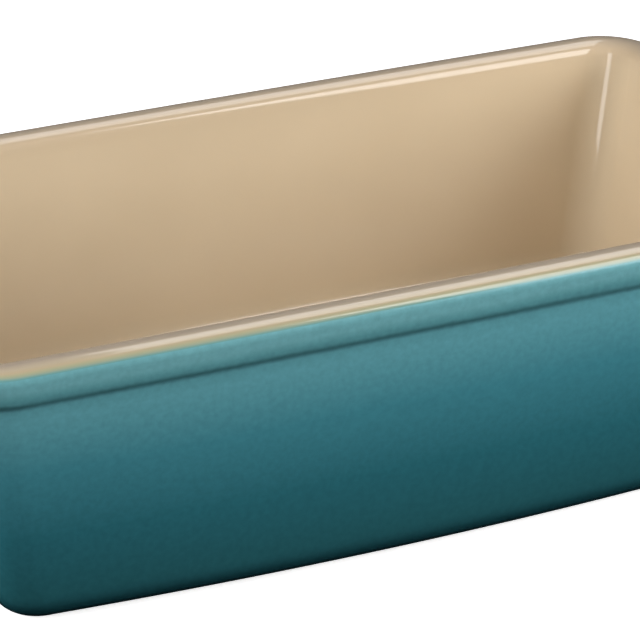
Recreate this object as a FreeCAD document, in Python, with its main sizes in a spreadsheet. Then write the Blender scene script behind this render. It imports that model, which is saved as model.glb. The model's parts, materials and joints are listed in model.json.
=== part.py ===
"""Glazed stoneware loaf pan, nominal 9 x 5 x 3 inch, as a parametric document in millimetres.

The frame has +Z up and X along the pan, with its origin on the resting plane under the pan's middle.
The pan is one fired clay body under three coats of glaze. Every horizontal outline of it is a rectangle
whose sides are shallow arcs and whose corners are tight ones, all tangent to each other. The same outline
with every radius changed by the coat's thickness is the clay's face under that coat.
"""

import FreeCAD, Part
import math
import os

import Sketcher
from FreeCAD import Vector

SHEET = "dimensions"
# word for the cell, value in mm, what it is
DIMENSIONS = [
    ("pan_height", 74.9, "resting plane up to the crown of the lip"),
    ("coat", 0.4, "thickness of each coat of glaze"),
    # outer wall where it meets the underside
    ("base_length", 220.9, "outer wall at its foot, end to end"),
    ("base_width", 126.9, "outer wall at its foot, side to side"),
    ("base_corner", 9.8, "outer wall at its foot, corner radius"),
    ("base_side_radius", 1060.0, "outer wall at its foot, arc of the long sides"),
    ("base_end_radius", 1000.0, "outer wall at its foot, arc of the ends"),
    ("base_fillet", 8.5, "rounding between outer wall and underside"),
    # outer wall where the step out to the band begins
    ("waist_drop", 10.95, "crown of the lip down to the top of the plain wall"),
    ("waist_length", 245.2, "top of the plain wall, end to end"),
    ("waist_width", 136.0, "top of the plain wall, side to side"),
    ("waist_corner", 15.4, "top of the plain wall, corner radius"),
    ("waist_side_radius", 4900.0, "top of the plain wall, arc of the long sides"),
    ("waist_end_radius", 3200.0, "top of the plain wall, arc of the ends"),
    ("waist_fillet", 2.7, "hollow under the band"),
    # raised band round the rim
    ("band_drop", 9.35, "crown of the lip down to the lower edge of the band"),
    ("band_length", 248.3, "lower edge of the band, end to end"),
    ("band_width", 138.7, "lower edge of the band, side to side"),
    ("band_corner", 16.9, "lower edge of the band, corner radius"),
    ("band_side_radius", 5500.0, "lower edge of the band, arc of the long sides"),
    ("band_end_radius", 3500.0, "lower edge of the band, arc of the ends"),
    ("band_fillet", 2.7, "rounding of the band's lower edge"),
    # rim, where the band's face would meet the plane of the crown
    ("rim_length", 253.4, "over the rim, end to end"),
    ("rim_width", 140.3, "over the rim, side to side"),
    ("rim_corner", 18.3, "rim, corner radius"),
    ("rim_side_radius", 10000.0, "rim, arc of the long sides"),
    ("rim_end_radius", 4900.0, "rim, arc of the ends"),
    # mouth, where the inner wall would meet the plane of the crown
    ("mouth_length", 236.5, "mouth, end to end"),
    ("mouth_width", 123.8, "mouth, side to side"),
    ("mouth_corner", 9.7, "mouth, corner radius"),
    ("mouth_side_radius", 9000.0, "mouth, arc of the long sides"),
    ("mouth_end_radius", 4050.0, "mouth, arc of the ends"),
    ("lip_fillet", 3.9, "rounding of the lip towards the outside and the inside, nearly a full half round"),
    # inner wall where it meets the floor
    ("floor_level", 8.0, "resting plane up to the glazed floor"),
    ("floor_length", 210.2, "floor, end to end"),
    ("floor_width", 111.4, "floor, side to side"),
    ("floor_corner", 11.0, "floor, corner radius"),
    ("floor_side_radius", 1080.0, "floor, arc of the long sides"),
    ("floor_end_radius", 1000.0, "floor, arc of the ends"),
    ("floor_fillet", 12.0, "rounding between inner wall and floor"),
    # foot ring
    ("foot_depth", 1.2, "resting plane up to the glazed underside"),
    ("foot_length", 200.0, "foot ring, end to end"),
    ("foot_width", 104.0, "foot ring, side to side"),
    ("foot_corner", 9.0, "foot ring, outer corner radius"),
    ("foot_side_radius", 1120.0, "foot ring, arc of the long sides"),
    ("foot_end_radius", 990.0, "foot ring, arc of the ends"),
    ("foot_ring", 4.0, "width of the ground ring"),
    ("foot_fillet", 0.4, "rounding of the ring's two lower edges"),
    # where one coat ends and the next begins
    ("glaze_drop", 2.5, "crown of the lip down to the line between sand and teal"),
    ("mid_wall", 1.6, "glazed inner face out to a surface within the clay"),
    ("above", 5.0, "how far a cutting tool stands over the lip"),
]
ON_LINE = 1e-4  # mm between an edge and the outline that it lies on


def cell(name):
    return f"{SHEET}.{name}"


def fill_sheet(doc):
    sheet = doc.addObject("Spreadsheet::Sheet", SHEET)
    for row, (name, value, note) in enumerate(DIMENSIONS, start=1):
        sheet.set(f"A{row}", note)
        sheet.set(f"B{row}", str(value))
        sheet.setAlias(f"B{row}", name)
    doc.recompute()


def corner_centre(half_length, half_width, corner, side_radius, end_radius):
    """Centre, in the +X +Y quarter, of the corner arc that touches a side arc and an end arc from inside."""
    side = Vector(0, half_width - side_radius, 0)
    end = Vector(half_length - end_radius, 0, 0)
    to_side = side_radius - corner
    to_end = end_radius - corner
    gap = (end - side).Length
    forward = (end - side).normalize()
    sideways = Vector(-forward.y, forward.x, 0)
    along = (to_side**2 - to_end**2 + gap**2) / (2 * gap)
    across = math.sqrt(to_side**2 - along**2)
    crossings = [side + forward * along + sideways * offset for offset in (across, -across)]
    return max(crossings, key=lambda point: point.x + point.y)


def draw_outline(sketch, size, inset):
    """Adds the eight arcs of the outline whose cells begin with size, drawn inset within it."""
    def now(expression):
        return float(sketch.evalExpression(expression))

    def bind(kind, *where_and_value, name, expression):
        index = sketch.addConstraint(Sketcher.Constraint(kind, *where_and_value))
        sketch.renameConstraint(index, name)
        sketch.setExpression(f"Constraints.{name}", expression)

    half = {"end": f"{cell(size)}_length / 2", "side": f"{cell(size)}_width / 2"}
    radius = {kind: f"{cell(size)}_{kind}_radius" for kind in half}
    corner = f"{cell(size)}_corner"
    centre = corner_centre(
        now(half["end"]), now(half["side"]), now(corner), now(radius["side"]), now(radius["end"])
    )
    half_turn = {
        "end": math.atan2(centre.y, centre.x + now(radius["end"]) - now(half["end"])),
        "side": math.atan2(centre.x, centre.y + now(radius["side"]) - now(half["side"])),
    }

    # each quarter turn has an end or a side, across its axis, and the corner that follows it
    first = sketch.GeometryCount
    for quarter, kind in enumerate(["end", "side", "end", "side"]):
        other = "side" if kind == "end" else "end"
        axis = quarter * math.pi / 2
        reach = now(half[kind]) - now(radius[kind])
        place = Vector(math.cos(axis), math.sin(axis), 0) * reach
        arc = Part.Circle(place, Vector(0, 0, 1), now(radius[kind]) - now(inset))
        sketch.addGeometry(Part.ArcOfCircle(arc, axis - half_turn[kind], axis + half_turn[kind]))
        right = 1 if quarter in (0, 3) else -1
        away = 1 if quarter in (0, 1) else -1
        place = Vector(right * centre.x, away * centre.y, 0)
        arc = Part.Circle(place, Vector(0, 0, 1), now(corner) - now(inset))
        next_axis = axis + math.pi / 2
        sketch.addGeometry(Part.ArcOfCircle(arc, axis + half_turn[kind], next_axis - half_turn[other]))

    for step in range(8):
        this, following = first + step, first + (step + 1) % 8
        sketch.addConstraint(Sketcher.Constraint("Tangent", this, 2, following, 1))
    for quarter, kind in enumerate(["end", "side", "end", "side"]):
        arc = first + 2 * quarter
        tag = f"{size}_{arc}"
        across_x = kind == "end"
        sketch.addConstraint(Sketcher.Constraint("PointOnObject", arc, 3, -1 if across_x else -2))
        from_to = (arc, 3, -1, 1) if quarter < 2 else (-1, 1, arc, 3)
        back = now(radius[kind]) - now(half[kind])
        bind(
            "DistanceX" if across_x else "DistanceY", *from_to, back,
            name=f"back_{tag}", expression=f"{radius[kind]} - {half[kind]}",
        )
        bind(
            "Radius", arc, now(radius[kind]) - now(inset),
            name=f"arc_{tag}", expression=f"{radius[kind]} - ({inset})",
        )
        bind(
            "Radius", arc + 1, now(corner) - now(inset),
            name=f"corner_{tag}", expression=f"{corner} - ({inset})",
        )


def outline(body, name, size, level, *insets):
    """A level sketch of the size's outline, once for each inset."""
    sketch = body.newObject("Sketcher::SketchObject", name)
    ground = next(plane for plane in body.Origin.OriginFeatures if plane.Role == "XY_Plane")
    sketch.AttachmentSupport = (ground, [""])
    sketch.MapMode = "FlatFace"
    sketch.setExpression("AttachmentOffset.Base.z", level)
    for inset in insets:
        draw_outline(sketch, size, inset)
    return sketch


def loft(body, kind, name, lower, upper):
    """Straight walls between two outlines. It starts from the upper one, or the rounding of its edges fails."""
    feature = body.newObject(f"PartDesign::{kind}Loft", name)
    feature.Profile = upper
    feature.Sections = [lower]
    feature.Ruled = True
    body.Document.recompute()
    return feature


def pad(body, name, sketch, height):
    feature = body.newObject("PartDesign::Pad", name)
    feature.Profile = sketch
    feature.setExpression("Length", height)
    body.Document.recompute()
    return feature


def fillet(body, name, radius, *sketches):
    """Rounds the edges of the body that lie on the sketches' outlines."""
    base = body.Tip
    edges = []
    for number, edge in enumerate(base.Shape.Edges, start=1):
        middle = Part.Vertex(edge.valueAt((edge.FirstParameter + edge.LastParameter) / 2))
        if min(sketch.Shape.distToShape(middle)[0] for sketch in sketches) < ON_LINE:
            edges.append(f"Edge{number}")
    feature = body.newObject("PartDesign::Fillet", name)
    feature.Base = (base, edges)
    feature.setExpression("Radius", radius)
    body.Document.recompute()
    return feature


def vessel(doc, name, inset):
    """The pan without its foot ring, every face drawn inset towards the middle of the wall."""
    body = doc.addObject("PartDesign::Body", name)
    crown = f"{cell('pan_height')} - ({inset})"
    waist_level = f"{cell('pan_height')} - {cell('waist_drop')} + ({inset})"
    band_level = f"{cell('pan_height')} - {cell('band_drop')} + ({inset})"
    outwards = f"-({inset})"

    base = outline(body, f"{name}_base", "base", f"{cell('foot_depth')} + ({inset})", inset)
    waist = outline(body, f"{name}_waist", "waist", waist_level, inset)
    loft(body, "Additive", f"{name}_wall", base, waist)
    fillet(body, f"{name}_base_edge", f"{cell('base_fillet')} - ({inset})", base)

    waist_again = outline(body, f"{name}_waist_top", "waist", waist_level, inset)
    band = outline(body, f"{name}_band", "band", band_level, inset)
    loft(body, "Additive", f"{name}_step", waist_again, band)
    band_again = outline(body, f"{name}_band_top", "band", band_level, inset)
    rim = outline(body, f"{name}_rim", "rim", crown, inset)
    loft(body, "Additive", f"{name}_rim_band", band_again, rim)
    fillet(body, f"{name}_hollow", f"{cell('waist_fillet')} + ({inset})", waist)
    fillet(body, f"{name}_band_edge", f"{cell('band_fillet')} - ({inset})", band)

    floor = outline(body, f"{name}_floor", "floor", f"{cell('floor_level')} - ({inset})", outwards)
    mouth = outline(body, f"{name}_mouth", "mouth", crown, outwards)
    loft(body, "Subtractive", f"{name}_cavity", floor, mouth)
    fillet(body, f"{name}_floor_edge", f"{cell('floor_fillet')} + ({inset})", floor)
    fillet(body, f"{name}_lip", f"{cell('lip_fillet')} - ({inset})", rim, mouth)
    return body


def add_foot_ring(body):
    """The bare ring under the clay, ground flat, that the pan stands on."""
    ring = outline(body, "foot_ring_outline", "foot", "0", "0", cell("foot_ring"))
    pad(body, "foot_ring_pad", ring, f"{cell('foot_depth')} + {cell('coat')}")
    fillet(body, "foot_ring_edges", cell("foot_fillet"), ring)


def inner_side(doc):
    """Tool that holds the inner coat: the cavity out to the middle of the wall, and all over the colour line."""
    body = doc.addObject("PartDesign::Body", "inner_side")
    outwards = f"-{cell('mid_wall')}"
    glaze_line = f"{cell('pan_height')} - {cell('glaze_drop')}"
    crown = cell("pan_height")
    floor = outline(body, "tool_floor", "floor", f"{cell('floor_level')} - {cell('mid_wall')}", outwards)
    mouth = outline(body, "tool_mouth", "mouth", crown, outwards)
    loft(body, "Additive", "tool_cavity", floor, mouth)
    over = outline(body, "tool_over", "rim", glaze_line, f"-{cell('above')}")
    pad(body, "tool_over_lip", over, f"{cell('glaze_drop')} + {cell('above')}")
    return body


def within_ring(doc):
    """Tool that holds the underside's coat: the space over the inner half of the foot ring."""
    body = doc.addObject("PartDesign::Body", "within_ring")
    middle = outline(body, "tool_ring", "foot", "0", f"{cell('foot_ring')} / 2")
    pad(body, "tool_ring_pad", middle, f"{cell('foot_depth')} + {cell('mid_wall')}")
    return body


def combine(doc, kind, name, base, tool):
    feature = doc.addObject(f"Part::{kind}", name)
    feature.Base = base
    feature.Tool = tool
    doc.recompute()
    return feature


def build():
    doc = FreeCAD.newDocument("loaf_pan")
    fill_sheet(doc)

    glazed = vessel(doc, "glazed_vessel", "0")
    clay = vessel(doc, "stoneware_body", cell("coat"))
    add_foot_ring(clay)

    coats = combine(doc, "Cut", "all_coats", glazed, clay)
    inner_tool = inner_side(doc)
    ring_tool = within_ring(doc)
    interior = combine(doc, "Common", "interior_glaze", coats, inner_tool)
    outer_coats = combine(doc, "Cut", "outer_coats", coats, inner_tool)
    underside = combine(doc, "Common", "underside_glaze", outer_coats, ring_tool)
    exterior = combine(doc, "Cut", "exterior_glaze", outer_coats, ring_tool)
    return doc, [clay, interior, exterior, underside]


def check(doc, pieces):
    for item in doc.Objects:
        faults = {"Invalid", "Error"} & set(item.State)
        if faults:
            raise RuntimeError(f"{item.Name}: {faults}")
    for piece in pieces:
        if piece.Shape.isNull() or not piece.Shape.isValid():
            raise RuntimeError(f"{piece.Name}: its shape is null or not valid")
        if len(piece.Shape.Solids) != 1:
            raise RuntimeError(f"{piece.Name}: {len(piece.Shape.Solids)} solids instead of one")


def write(pieces):
    os.makedirs("parts", exist_ok=True)
    for piece in pieces:
        piece.Label = piece.Name
        piece.Shape.exportStep(f"parts/{piece.Label}.step")
        box = piece.Shape.optimalBoundingBox()
        size = f"{box.XLength:.1f} x {box.YLength:.1f} x {box.ZLength:.1f} mm"
        print(f"{piece.Label}: {size}, {piece.Shape.Volume / 1000:.1f} cm3, {len(piece.Shape.Faces)} faces")


document, sub_parts = build()
check(document, sub_parts)
write(sub_parts)
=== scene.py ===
import json
import math

import bmesh
import bpy
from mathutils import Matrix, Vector

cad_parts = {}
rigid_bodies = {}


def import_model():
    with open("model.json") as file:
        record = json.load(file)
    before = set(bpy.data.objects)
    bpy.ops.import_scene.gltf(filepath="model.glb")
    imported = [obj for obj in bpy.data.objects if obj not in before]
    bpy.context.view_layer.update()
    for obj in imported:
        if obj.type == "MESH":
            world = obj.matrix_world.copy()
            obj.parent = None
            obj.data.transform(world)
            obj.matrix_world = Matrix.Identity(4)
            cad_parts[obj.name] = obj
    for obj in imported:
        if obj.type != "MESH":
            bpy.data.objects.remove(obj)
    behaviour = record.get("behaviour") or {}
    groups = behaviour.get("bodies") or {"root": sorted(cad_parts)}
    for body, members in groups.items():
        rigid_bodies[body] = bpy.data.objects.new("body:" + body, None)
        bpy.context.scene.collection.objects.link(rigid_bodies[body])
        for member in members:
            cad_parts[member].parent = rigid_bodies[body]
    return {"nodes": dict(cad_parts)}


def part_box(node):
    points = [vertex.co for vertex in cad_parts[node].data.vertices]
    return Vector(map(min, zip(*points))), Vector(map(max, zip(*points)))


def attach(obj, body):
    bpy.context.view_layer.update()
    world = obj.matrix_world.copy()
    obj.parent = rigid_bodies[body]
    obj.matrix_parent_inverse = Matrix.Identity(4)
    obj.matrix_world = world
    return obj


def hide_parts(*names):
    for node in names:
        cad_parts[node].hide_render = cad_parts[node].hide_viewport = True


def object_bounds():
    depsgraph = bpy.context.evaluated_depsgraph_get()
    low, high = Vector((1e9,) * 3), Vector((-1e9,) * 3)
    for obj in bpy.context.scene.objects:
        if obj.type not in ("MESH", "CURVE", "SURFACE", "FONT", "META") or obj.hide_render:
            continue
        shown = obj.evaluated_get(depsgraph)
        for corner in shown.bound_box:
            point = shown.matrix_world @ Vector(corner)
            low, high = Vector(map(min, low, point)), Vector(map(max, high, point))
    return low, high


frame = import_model()
cad_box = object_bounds()


# ---------------------------------------------------------------------------------------------------------
# The glazed skin: the whole surface of the stoneware pan, from the foot ring up over the lip and down inside.
# Its levels are drawn as outlines of eight tangent arcs, swung as with a compass, then walled in between,
# and every edge is rounded the way melted glaze rounds it. It is parted afterwards along the colour line.
# ---------------------------------------------------------------------------------------------------------
MM = 0.001
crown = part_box("interior_glaze")[1].z
colour_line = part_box("exterior_glaze")[1].z
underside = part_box("underside_glaze")[0].z
COAT_THICKNESS = 0.4 * MM
floor_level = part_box("interior_glaze")[0].z + COAT_THICKNESS

SIDE_STEPS = 24
END_STEPS = 12
CORNER_STEPS = 22

# length, width, corner radius, arc of the long sides, arc of the ends, all in millimetres; then the height
LEVELS = {
    "foot": (200.0, 104.0, 9.0, 1120.0, 990.0, underside),
    "base": (220.9, 126.9, 9.8, 1060.0, 1000.0, underside),
    "waist": (245.2, 136.0, 15.4, 4900.0, 3200.0, crown - 10.95 * MM),
    "band": (248.3, 138.7, 16.9, 5500.0, 3500.0, crown - 9.35 * MM),
    "rim": (253.4, 140.3, 18.3, 10000.0, 4900.0, crown),
    "mouth": (236.5, 123.8, 9.7, 9000.0, 4050.0, crown),
    "floor": (210.2, 111.4, 11.0, 1080.0, 1000.0, floor_level),
}
# how far each level's edge is cut back along both walls, in millimetres, and its rounding's strips
ROUNDINGS = {
    "base": (7.5, 12),
    "waist": (0.7, 8),
    "band": (0.7, 8),
    "rim": (4.4, 16),
    "mouth": (3.55, 16),
    "floor": (10.4, 14),
}


def corner_centre(half_length, half_width, corner, side_radius, end_radius):
    """Where the compass stands for the corner arc that touches a long side's arc and an end's arc."""
    side = Vector((0, half_width - side_radius))
    end = Vector((half_length - end_radius, 0))
    gap = (end - side).length
    forward = (end - side).normalized()
    sideways = Vector((-forward.y, forward.x))
    along = ((side_radius - corner) ** 2 - (end_radius - corner) ** 2 + gap**2) / (2 * gap)
    across = math.sqrt((side_radius - corner) ** 2 - along**2)
    crossings = [side + forward * along + sideways * offset for offset in (across, -across)]
    return max(crossings, key=lambda point: point.x + point.y)


def swing_outline(length, width, corner, side_radius, end_radius, height):
    """Draws one closed outline in the mesh being edited, anticlockwise from the -Y side of the +X end."""
    half_length, half_width = length / 2, width / 2
    centre = corner_centre(half_length, half_width, corner, side_radius, end_radius)
    end_turn = math.atan2(centre.y, centre.x + end_radius - half_length)
    side_turn = math.atan2(centre.x, centre.y + side_radius - half_width)
    corner_turn = math.pi / 2 - end_turn - side_turn

    start = Vector((half_length - end_radius, 0, height / MM)) + Vector(
        (math.cos(end_turn), -math.sin(end_turn), 0)
    ) * end_radius
    bpy.ops.mesh.primitive_plane_add(size=MM, location=start * MM)
    bpy.ops.mesh.merge(type="CENTER")
    end_centre = Vector((half_length - end_radius, 0, 0))
    side_centre = Vector((0, half_width - side_radius, 0))
    swings = []
    for facing in (1, -1):
        swings.append((end_centre * facing, 2 * end_turn, END_STEPS))
        swings.append((Vector((centre.x, centre.y, 0)) * facing, corner_turn, CORNER_STEPS))
        swings.append((side_centre * facing, 2 * side_turn, SIDE_STEPS))
        swings.append((Vector((-centre.x, centre.y, 0)) * facing, corner_turn, CORNER_STEPS))
    for place, turn, steps in swings:
        bpy.ops.mesh.spin(steps=steps, angle=-turn, center=place * MM, axis=(0, 0, 1))
    bpy.ops.mesh.select_linked()
    bpy.ops.mesh.remove_doubles(threshold=0.1 * MM)


def spot(vertex):
    return tuple(round(value / MM, 3) for value in vertex.co)


def select_spots(skin, spots):
    """Selects the points that lie on remembered spots, and the edges between them."""
    bpy.ops.mesh.select_all(action="DESELECT")
    bpy.ops.mesh.select_mode(type="VERT")
    mesh = bmesh.from_edit_mesh(skin.data)
    for vertex in mesh.verts:
        vertex.select_set(spot(vertex) in spots)
    mesh.select_flush(True)
    bmesh.update_edit_mesh(skin.data)


def select_faces(skin, wanted):
    """Selects the faces whose middle and normal pass the test."""
    bpy.ops.mesh.select_all(action="DESELECT")
    bpy.ops.mesh.select_mode(type="FACE")
    mesh = bmesh.from_edit_mesh(skin.data)
    for face in mesh.faces:
        face.select_set(wanted(face.calc_center_median(), face.normal))
    mesh.select_flush_mode()
    bmesh.update_edit_mesh(skin.data)


def faces_out(middle, normal):
    return middle.x * normal.x + middle.y * normal.y > 1e-7


bpy.ops.object.select_all(action="DESELECT")
bpy.ops.mesh.primitive_plane_add(size=MM)
skin = bpy.context.object
skin.name = "glazed_skin"
bpy.ops.object.mode_set(mode="EDIT")
bpy.ops.mesh.delete(type="VERT")
on_level = {}
for name, outline in LEVELS.items():
    swing_outline(*outline)
    on_level[name] = {spot(v) for v in bmesh.from_edit_mesh(skin.data).verts if v.select}
names = list(LEVELS)
for lower, upper in zip(names, names[1:]):
    select_spots(skin, on_level[lower] | on_level[upper])
    bpy.ops.mesh.bridge_edge_loops()
select_spots(skin, on_level["floor"])
bpy.ops.mesh.edge_face_add()
bpy.ops.mesh.select_all(action="SELECT")
bpy.ops.mesh.normals_make_consistent(inside=False)
for name, (cut_back, strips) in ROUNDINGS.items():
    select_spots(skin, on_level[name])
    bpy.ops.mesh.bevel(
        offset=cut_back * MM, offset_type="OFFSET", segments=strips, profile=0.5, affect="EDGES",
        clamp_overlap=False,
    )

# the floor's one large face gets a border, so that its shading stays level up to the rounding, and is
# parted into triangles round its middle
FLOOR_BORDER = 0.3 * MM
select_faces(skin, lambda middle, normal: normal.z > 0.999 and middle.length < floor_level * 1.01)
bpy.ops.mesh.inset(thickness=FLOOR_BORDER)
bpy.ops.mesh.poke()

# the colour line, cut through the lip's outer shoulder
BAND_REACH = 8 * MM
select_faces(skin, lambda middle, normal: faces_out(middle, normal) and middle.z > crown - BAND_REACH)
bpy.ops.mesh.bisect(plane_co=(0, 0, colour_line), plane_no=(0, 0, 1))

# everything outside and under the line is the teal coat, and the rest is the sand one
select_faces(
    skin,
    lambda middle, normal: middle.z < colour_line and (faces_out(middle, normal) or normal.z < -0.5),
)
bpy.ops.mesh.separate(type="SELECTED")
bpy.ops.object.mode_set(mode="OBJECT")
inner_coat = skin
outer_coat = next(o for o in bpy.context.selected_objects if o is not skin)
inner_coat.name = inner_coat.data.name = "inner_coat"
outer_coat.name = outer_coat.data.name = "outer_coat"


# ---------------------------------------------------------------------------------------------------------
# The outer coat: teal glaze, sprayed pale under the lip and ever deeper down to the base. Its near-black
# stops at the base are partly that glaze and partly painted shade on the base's rounding, and the darker
# stripe in the hollow under the band is painted shade. It stops at the bare foot ring underneath.
# ---------------------------------------------------------------------------------------------------------
def finish_coat(coat):
    """Gives a parted skin its thickness, inwards to the clay, and smooth shading up to its cut rims."""
    bpy.ops.object.select_all(action="DESELECT")
    bpy.context.view_layer.objects.active = coat
    coat.select_set(True)
    thickness = coat.modifiers.new("coat thickness", "SOLIDIFY")
    thickness.thickness = COAT_THICKNESS
    thickness.offset = -1
    thickness.use_even_offset = True
    bpy.ops.object.modifier_apply(modifier=thickness.name)
    bpy.ops.object.shade_smooth_by_angle(angle=math.radians(40))


def new_material(name):
    material = bpy.data.materials.new(name)
    material.use_nodes = True
    nodes = material.node_tree.nodes
    return material, nodes, material.node_tree.links, nodes["Principled BSDF"]


def noise(nodes, links, place, grain, detail=2.0):
    """Cloudy noise whose lumps are about grain metres across."""
    texture = nodes.new("ShaderNodeTexNoise")
    texture.inputs["Scale"].default_value = 1 / grain
    texture.inputs["Detail"].default_value = detail
    links.new(place, texture.inputs["Vector"])
    return texture.outputs["Fac"]


def spread(nodes, links, value, low, high, new_low, new_high):
    """Stretches a value from one range to another."""
    node = nodes.new("ShaderNodeMapRange")
    for socket, number in zip(
        ("From Min", "From Max", "To Min", "To Max"), (low, high, new_low, new_high)
    ):
        node.inputs[socket].default_value = number
    links.new(value, node.inputs["Value"])
    return node.outputs["Result"]


def combine(nodes, links, kind, first, second):
    node = nodes.new("ShaderNodeMath")
    node.operation = kind
    for socket, value in zip(node.inputs, (first, second)):
        if isinstance(value, (int, float)):
            socket.default_value = value
        else:
            links.new(value, socket)
    return node.outputs["Value"]


def ramp(nodes, links, value, stops):
    """A run of colours, given as 0-255 screen values, each with its place from 0 to 1."""
    node = nodes.new("ShaderNodeValToRGB")
    elements = node.color_ramp.elements
    while len(elements) < len(stops):
        elements.new(0.5)
    for element, (place, colour) in zip(elements, stops):
        element.position = place
        element.color = screen(colour)
    links.new(value, node.inputs["Fac"])
    return node.outputs["Color"]


def screen(colour):
    """Linear colour of an 0-255 screen colour."""
    return [((c / 255 + 0.055) / 1.055) ** 2.4 if c > 10 else c / 255 / 12.92 for c in colour] + [1.0]


def relief(nodes, links, shader, parts):
    """Bumps from (noise, depth in metres) pairs, added together."""
    total = None
    for value, depth in parts:
        part = combine(nodes, links, "MULTIPLY", value, depth)
        total = part if total is None else combine(nodes, links, "ADD", total, part)
    bump = nodes.new("ShaderNodeBump")
    bump.inputs["Distance"].default_value = 1.0
    bump.inputs["Strength"].default_value = 1.0
    links.new(total, bump.inputs["Height"])
    links.new(bump.outputs["Normal"], shader.inputs["Normal"])


finish_coat(outer_coat)

# stops from the base (0) to the crown (1): the two lowest stops are partly painted shade on the base's
# rounding, and the dip at 0.87 is painted shade in the hollow under the band
TEAL_AND_PAINTED_SHADE_BY_HEIGHT = [
    (0.00, (24, 55, 61)),
    (0.05, (33, 79, 87)),
    (0.12, (43, 102, 110)),
    (0.35, (50, 119, 131)),
    (0.60, (74, 149, 163)),
    (0.80, (109, 180, 191)),
    (0.845, (104, 172, 182)),
    (0.87, (88, 149, 157)),
    (0.89, (98, 163, 170)),
    (0.92, (125, 190, 197)),
    (0.97, (127, 192, 199)),
]
teal, nodes, links, shader = new_material("teal_glaze")
place = nodes.new("ShaderNodeTexCoord").outputs["Object"]
split = nodes.new("ShaderNodeSeparateXYZ")
links.new(place, split.inputs["Vector"])
height = spread(nodes, links, split.outputs["Z"], underside, crown, 0.0, 1.0)
drift = spread(nodes, links, noise(nodes, links, place, 45 * MM), 0.3, 0.7, -0.005, 0.005)
height = combine(nodes, links, "ADD", height, drift)
speckle = noise(nodes, links, place, 1.6 * MM, 4.0)
speckle_shade = ramp(nodes, links, speckle, [(0.3, (240, 240, 240)), (0.7, (255, 255, 255))])
mix = nodes.new("ShaderNodeMix")
mix.data_type = "RGBA"
mix.blend_type = "MULTIPLY"
mix.inputs["Factor"].default_value = 1.0
links.new(ramp(nodes, links, height, TEAL_AND_PAINTED_SHADE_BY_HEIGHT), mix.inputs["A"])
links.new(speckle_shade, mix.inputs["B"])
links.new(mix.outputs["Result"], shader.inputs["Base Color"])
gloss = spread(nodes, links, noise(nodes, links, place, 12 * MM), 0.3, 0.7, 0.2, 0.26)
links.new(gloss, shader.inputs["Roughness"])
relief(
    nodes, links, shader,
    [
        (noise(nodes, links, place, 9 * MM), 0.03 * MM),
        (noise(nodes, links, place, 1.2 * MM), 0.002 * MM),
    ],
)
outer_coat.data.materials.append(teal)
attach(outer_coat, "root")
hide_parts("exterior_glaze")


# ---------------------------------------------------------------------------------------------------------
# The inner coat: sand-coloured glaze poured over the floor and walls and wiped over the lip. Over the lip its
# colour runs by tilt and turns greyer over the crest, partly the glaze's own tone and partly painted shade of
# the up-facing crest. The teal coat's sprayed edge tints its last millimetre on the outer shoulder.
# ---------------------------------------------------------------------------------------------------------
finish_coat(inner_coat)

SAND = (219, 199, 168)
LINE_TILT = math.radians(69)
# colours across the lip by tilt, from the inner wall (0) to the colour line (1); the greyer stops over the
# crest are partly the glaze's own tone and partly painted shade of the up-facing crest
LIP_TONE_AND_SHADE_ACROSS = [
    (0.00, SAND),
    (0.23, (214, 192, 162)),
    (0.47, (196, 178, 156)),
    (0.60, (192, 176, 158)),
    (0.75, (200, 184, 158)),
    (0.83, (200, 182, 150)),
    (0.89, (188, 184, 150)),
    (0.94, (170, 182, 158)),
    (1.00, (120, 176, 174)),
]
sand, nodes, links, shader = new_material("sand_glaze")
place = nodes.new("ShaderNodeTexCoord").outputs["Object"]
split = nodes.new("ShaderNodeSeparateXYZ")
links.new(place, split.inputs["Vector"])
facing = nodes.new("ShaderNodeNewGeometry").outputs["Normal"]
tilt = nodes.new("ShaderNodeSeparateXYZ")
links.new(facing, tilt.inputs["Vector"])
out_x = combine(nodes, links, "MULTIPLY", split.outputs["X"], tilt.outputs["X"])
out_y = combine(nodes, links, "MULTIPLY", split.outputs["Y"], tilt.outputs["Y"])
outwards = combine(nodes, links, "SIGN", combine(nodes, links, "ADD", out_x, out_y), 0.0)
turned = combine(nodes, links, "ARCCOSINE", tilt.outputs["Z"], 0.0)
across = combine(nodes, links, "MULTIPLY", outwards, turned)
on_lip = spread(nodes, links, across, -math.pi / 2, LINE_TILT, 0.0, 1.0)
# the lip's colour by tilt, partly painted shade over the crest
lip_tone_and_shade = ramp(nodes, links, on_lip, LIP_TONE_AND_SHADE_ACROSS)
high = spread(nodes, links, split.outputs["Z"], crown - 6 * MM, crown - 4 * MM, 0.0, 1.0)
mix = nodes.new("ShaderNodeMix")
mix.data_type = "RGBA"
links.new(high, mix.inputs["Factor"])
mottle = noise(nodes, links, place, 30 * MM)
sand_colour = ramp(nodes, links, mottle, [(0.3, (217, 197, 166)), (0.7, (221, 201, 170))])
links.new(sand_colour, mix.inputs["A"])
links.new(lip_tone_and_shade, mix.inputs["B"])
links.new(mix.outputs["Result"], shader.inputs["Base Color"])
gloss = spread(nodes, links, noise(nodes, links, place, 12 * MM), 0.3, 0.7, 0.05, 0.09)
links.new(gloss, shader.inputs["Roughness"])
relief(
    nodes, links, shader,
    [
        (noise(nodes, links, place, 9 * MM), 0.02 * MM),
        (noise(nodes, links, place, 1.2 * MM), 0.001 * MM),
    ],
)
inner_coat.data.materials.append(sand)
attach(inner_coat, "root")
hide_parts("interior_glaze")


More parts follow.
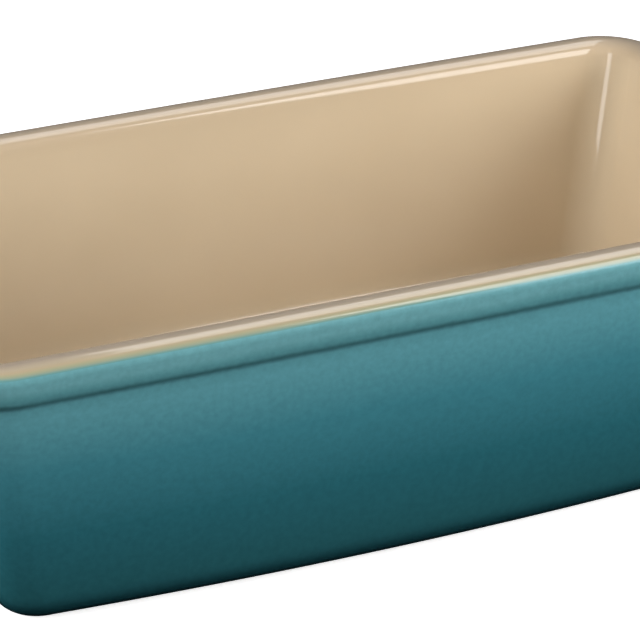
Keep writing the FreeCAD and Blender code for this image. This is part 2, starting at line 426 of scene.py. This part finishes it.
# ---------------------------------------------------------------------------------------------------------
# The underside's coat: the deepest teal, brushed thinly into the recess inside the foot ring.
# ---------------------------------------------------------------------------------------------------------
under = frame["nodes"]["underside_glaze"]
deep, nodes, links, shader = new_material("underside_glaze")
place = nodes.new("ShaderNodeTexCoord").outputs["Object"]
patches = noise(nodes, links, place, 14 * MM, 4.0)
under_colour = ramp(nodes, links, patches, [(0.35, (12, 52, 58)), (0.7, (20, 70, 76))])
links.new(under_colour, shader.inputs["Base Color"])
links.new(spread(nodes, links, patches, 0.3, 0.7, 0.28, 0.4), shader.inputs["Roughness"])
relief(nodes, links, shader, [(noise(nodes, links, place, 5 * MM), 0.04 * MM)])
under.data.materials.clear()
under.data.materials.append(deep)


# ---------------------------------------------------------------------------------------------------------
# The fired clay body: buff stoneware with darker grog in it, bare only on the ground foot ring.
# ---------------------------------------------------------------------------------------------------------
clay_body = frame["nodes"]["stoneware_body"]
clay, nodes, links, shader = new_material("stoneware")
place = nodes.new("ShaderNodeTexCoord").outputs["Object"]
grog = noise(nodes, links, place, 0.8 * MM, 6.0)
links.new(
    ramp(nodes, links, grog, [(0.3, (176, 158, 132)), (0.5, (214, 198, 172)), (0.75, (226, 212, 188))]),
    shader.inputs["Base Color"],
)
shader.inputs["Roughness"].default_value = 0.85
relief(
    nodes, links, shader,
    [(grog, 0.05 * MM), (noise(nodes, links, place, 0.25 * MM), 0.02 * MM)],
)
clay_body.data.materials.clear()
clay_body.data.materials.append(clay)


# ---------------------------------------------------------------------------------------------------------
# The studio: white paper under the pan and a faint dome. Softboxes at the front right, left, front left and
# back light the pan and leave no reflection, and three bright panels at the front right, overhead and at the
# front left show only as reflections in the glaze.
# ---------------------------------------------------------------------------------------------------------
bpy.ops.object.select_all(action="DESELECT")
bpy.ops.mesh.primitive_plane_add(size=12.0, location=(0, 0, 0))
floor = bpy.context.object
floor.name = "studio_floor"
paper, nodes, links, shader = new_material("studio_paper")
place = nodes.new("ShaderNodeTexCoord").outputs["Object"]
tooth = noise(nodes, links, place, 2 * MM)
paper_colour = ramp(nodes, links, tooth, [(0.0, (244, 244, 244)), (1.0, (250, 250, 250))])
links.new(paper_colour, shader.inputs["Base Color"])
shader.inputs["Roughness"].default_value = 0.9
shader.inputs["Emission Color"].default_value = (1, 1, 1, 1)
shader.inputs["Emission Strength"].default_value = 0.75
floor.data.materials.append(paper)
floor.visible_glossy = False
floor.visible_diffuse = False

scene = bpy.context.scene
scene.view_settings.view_transform = "Standard"
dome = bpy.data.worlds.new("studio_dome")
scene.world = dome
dome.use_nodes = True
nodes, links = dome.node_tree.nodes, dome.node_tree.links
direction = nodes.new("ShaderNodeTexCoord").outputs["Generated"]
split = nodes.new("ShaderNodeSeparateXYZ")
links.new(direction, split.inputs["Vector"])
up = spread(nodes, links, split.outputs["Z"], -0.15, 0.25, 0.0, 1.0)
sky = ramp(nodes, links, up, [(0.0, (6, 6, 6)), (1.0, (30, 30, 30))])
backdrop = nodes.new("ShaderNodeMix")
backdrop.data_type = "RGBA"
seen = nodes.new("ShaderNodeLightPath").outputs["Is Camera Ray"]
links.new(seen, backdrop.inputs["Factor"])
links.new(sky, backdrop.inputs["A"])
backdrop.inputs["B"].default_value = (1, 1, 1, 1)
links.new(backdrop.outputs["Result"], nodes["Background"].inputs["Color"])
dome.cycles_visibility.glossy = False


PAN_MIDDLE = Vector((0, 0, 0.05))


def panel(name, azimuth, elevation, distance, width, depth, power):
    """A bright panel that looks at the pan from round it and above it, in degrees and metres."""
    turn, rise = math.radians(azimuth), math.radians(elevation)
    away = Vector(
        (math.sin(turn) * math.cos(rise), -math.cos(turn) * math.cos(rise), math.sin(rise))
    )
    light = bpy.data.objects.new(name, bpy.data.lights.new(name, "AREA"))
    light.data.shape = "RECTANGLE"
    light.data.size = width
    light.data.size_y = depth
    light.data.energy = power
    light.location = away * distance + PAN_MIDDLE
    light.rotation_mode = "QUATERNION"
    light.rotation_quaternion = (-away).to_track_quat("-Z", "Y")
    light.visible_camera = False
    scene.collection.objects.link(light)
    return light


# the softboxes that light the pan
SOFTBOX_DISTANCE = 1.2
SOFTBOX_SIDE = 0.6
for name, azimuth, elevation, power in (
    ("right_low", 45, 20, 10.2),
    ("right_high", 45, 45, 1.7),
    ("left_low", -90, 20, 8.4),
    ("left_high", -90, 45, 2.3),
    ("front_low", -45, 20, 3.0),
):
    softbox = panel(
        name, azimuth, elevation, SOFTBOX_DISTANCE, SOFTBOX_SIDE, SOFTBOX_SIDE, power
    )
    softbox.visible_glossy = False
panel("back_low", 180, 7, SOFTBOX_DISTANCE, 0.9, 0.28, 8.0).visible_glossy = False

# the panels seen in the glaze
panel("right_panel", 36, 22, 1.2, 0.42, 0.8, 6.6).visible_diffuse = False
panel("overhead_panel", 90, 65, 1.1, 0.8, 0.42, 4.3).visible_diffuse = False
panel("corner_panel", -52, 12, 1.2, 0.3, 0.5, 2.2).visible_diffuse = False

AZIMUTH = math.radians(-24.75)
ELEVATION = math.radians(25.09)
DISTANCE = 0.9338
aim = (cad_box[0] + cad_box[1]) / 2 + Vector((-1.9, 0, -0.05)) * MM
back = Vector(
    (
        math.sin(AZIMUTH) * math.cos(ELEVATION),
        -math.cos(AZIMUTH) * math.cos(ELEVATION),
        math.sin(ELEVATION),
    )
)
camera = bpy.data.objects.new("camera", bpy.data.cameras.new("camera"))
camera.data.sensor_width = 36
camera.data.lens = 204.24
camera.data.clip_start = 0.01
camera.location = aim + back * DISTANCE
camera.rotation_mode = "QUATERNION"
camera.rotation_quaternion = (-back).to_track_quat("-Z", "Y")
scene.collection.objects.link(camera)
scene.camera = camera
